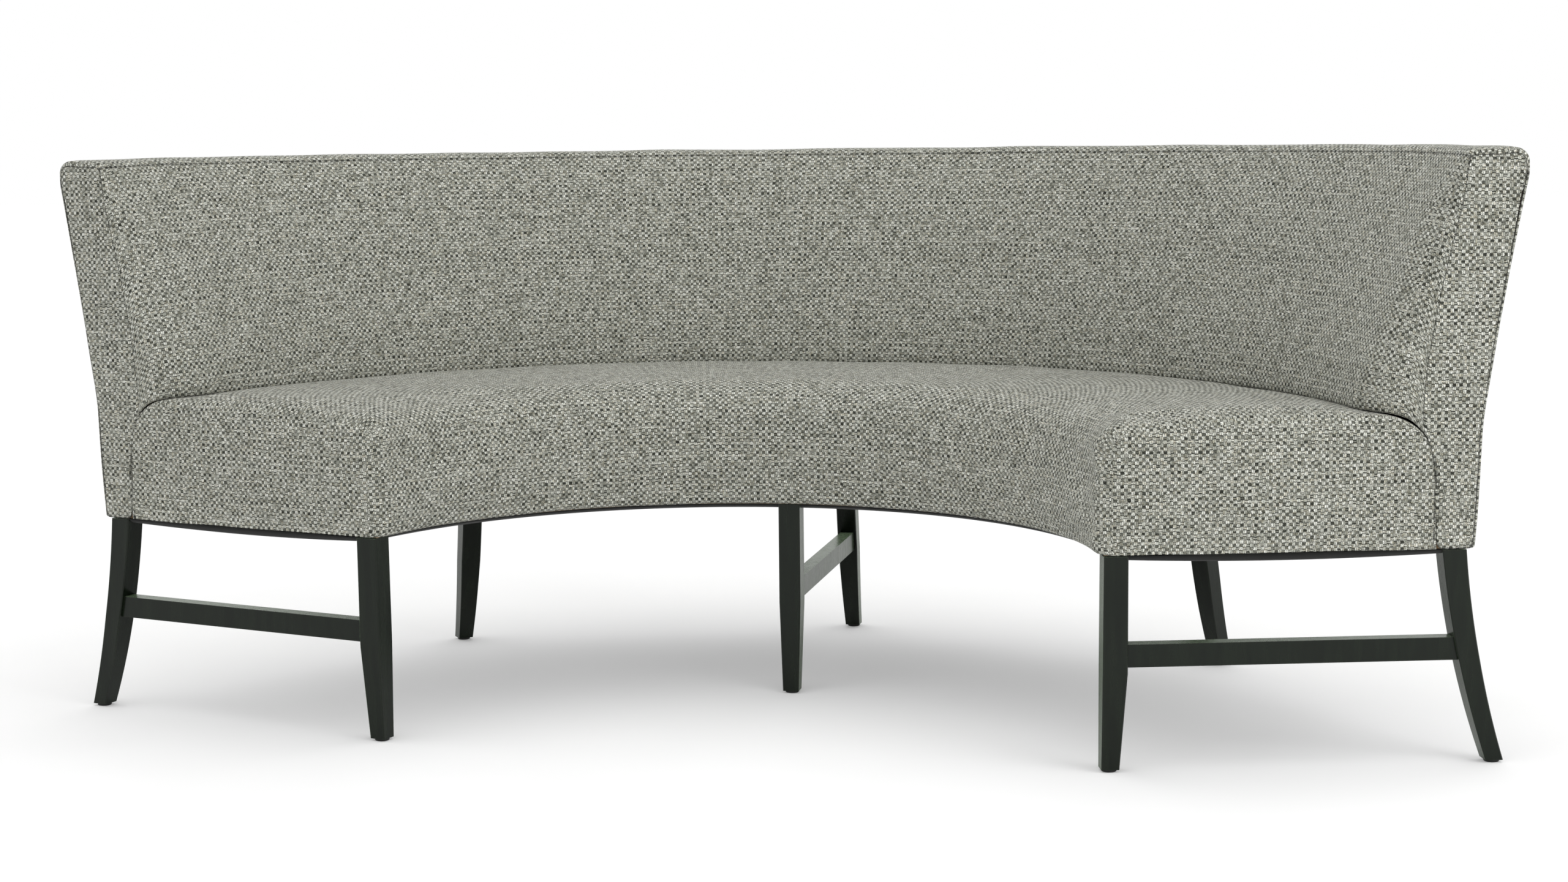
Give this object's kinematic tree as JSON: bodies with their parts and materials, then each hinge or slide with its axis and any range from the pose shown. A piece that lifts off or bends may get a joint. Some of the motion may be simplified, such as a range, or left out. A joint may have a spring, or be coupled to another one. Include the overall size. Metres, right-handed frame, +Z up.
{
  "type": "upholstered banquette bench",
  "caption": "Curved upholstered banquette bench: an arc of padded seat and reclined back in woven fabric on dark tapered wooden legs with stretchers.",
  "frame": {"origin": "on the floor, at the centre of the bench's footprint box", "axes": "+X along the bench's length, to the right of someone who faces the seat's concave side; +Y from the concave front to the back; +Z up"},
  "size_m": [2.2396, 1.0262, 0.88],
  "materials": {
    "woven_fabric": "chunky basket weave of cream and charcoal yarns, matt",
    "foam": "open-cell upholstery foam",
    "felt": "grey needled felt",
    "dust_cloth": "black non-woven dust cloth",
    "webbing": "elastic back webbing",
    "stained_wood": "near-black stain under a satin lacquer",
    "frame_wood": "plain sawn and laminated frame timber",
    "board": "thin hardboard",
    "spring_steel": "drawn spring wire",
    "zinc_steel": "zinc plated",
    "glide_plastic": "black moulded plastic"
  },
  "bodies": {
    "root": {"seat_cover": "woven_fabric", "back_cover": "woven_fabric", "outside_back_cover": "woven_fabric", "seat_foam": "foam", "back_foam": "foam", "insulator_felt": "felt", "dust_cover": "dust_cloth", "back_webbing": "webbing", "leg_front_left": "stained_wood", "leg_front_centre": "stained_wood", "leg_front_right": "stained_wood", "leg_back_left": "stained_wood", "leg_back_mid_left": "stained_wood", "leg_back_centre": "stained_wood", "leg_back_mid_right": "stained_wood", "leg_back_right": "stained_wood", "stretcher_left": "stained_wood", "stretcher_centre": "stained_wood", "stretcher_right": "stained_wood", "front_seat_rail": "frame_wood", "back_seat_rail": "frame_wood", "top_back_rail": "frame_wood", "lower_back_rail": "frame_wood", "corner_blocks": "frame_wood", "cross_rail_left": "frame_wood", "cross_rail_mid_left": "frame_wood", "cross_rail_centre": "frame_wood", "cross_rail_mid_right": "frame_wood", "cross_rail_right": "frame_wood", "back_post_left_end": "frame_wood", "back_post_left_outer": "frame_wood", "back_post_left_mid": "frame_wood", "back_post_left_inner": "frame_wood", "back_post_centre": "frame_wood", "back_post_right_inner": "frame_wood", "back_post_right_mid": "frame_wood", "back_post_right_outer": "frame_wood", "back_post_right_end": "frame_wood", "outer_back_board": "board", "seat_springs": "spring_steel", "spring_clips": "zinc_steel", "hanger_bolts": "zinc_steel", "threaded_inserts": "zinc_steel", "post_screws": "zinc_steel", "top_rail_screws": "zinc_steel", "glide_front_left": "glide_plastic", "glide_front_centre": "glide_plastic", "glide_front_right": "glide_plastic", "glide_back_left": "glide_plastic", "glide_back_mid_left": "glide_plastic", "glide_back_centre": "glide_plastic", "glide_back_mid_right": "glide_plastic", "glide_back_right": "glide_plastic"}
  },
  "joints": []
}
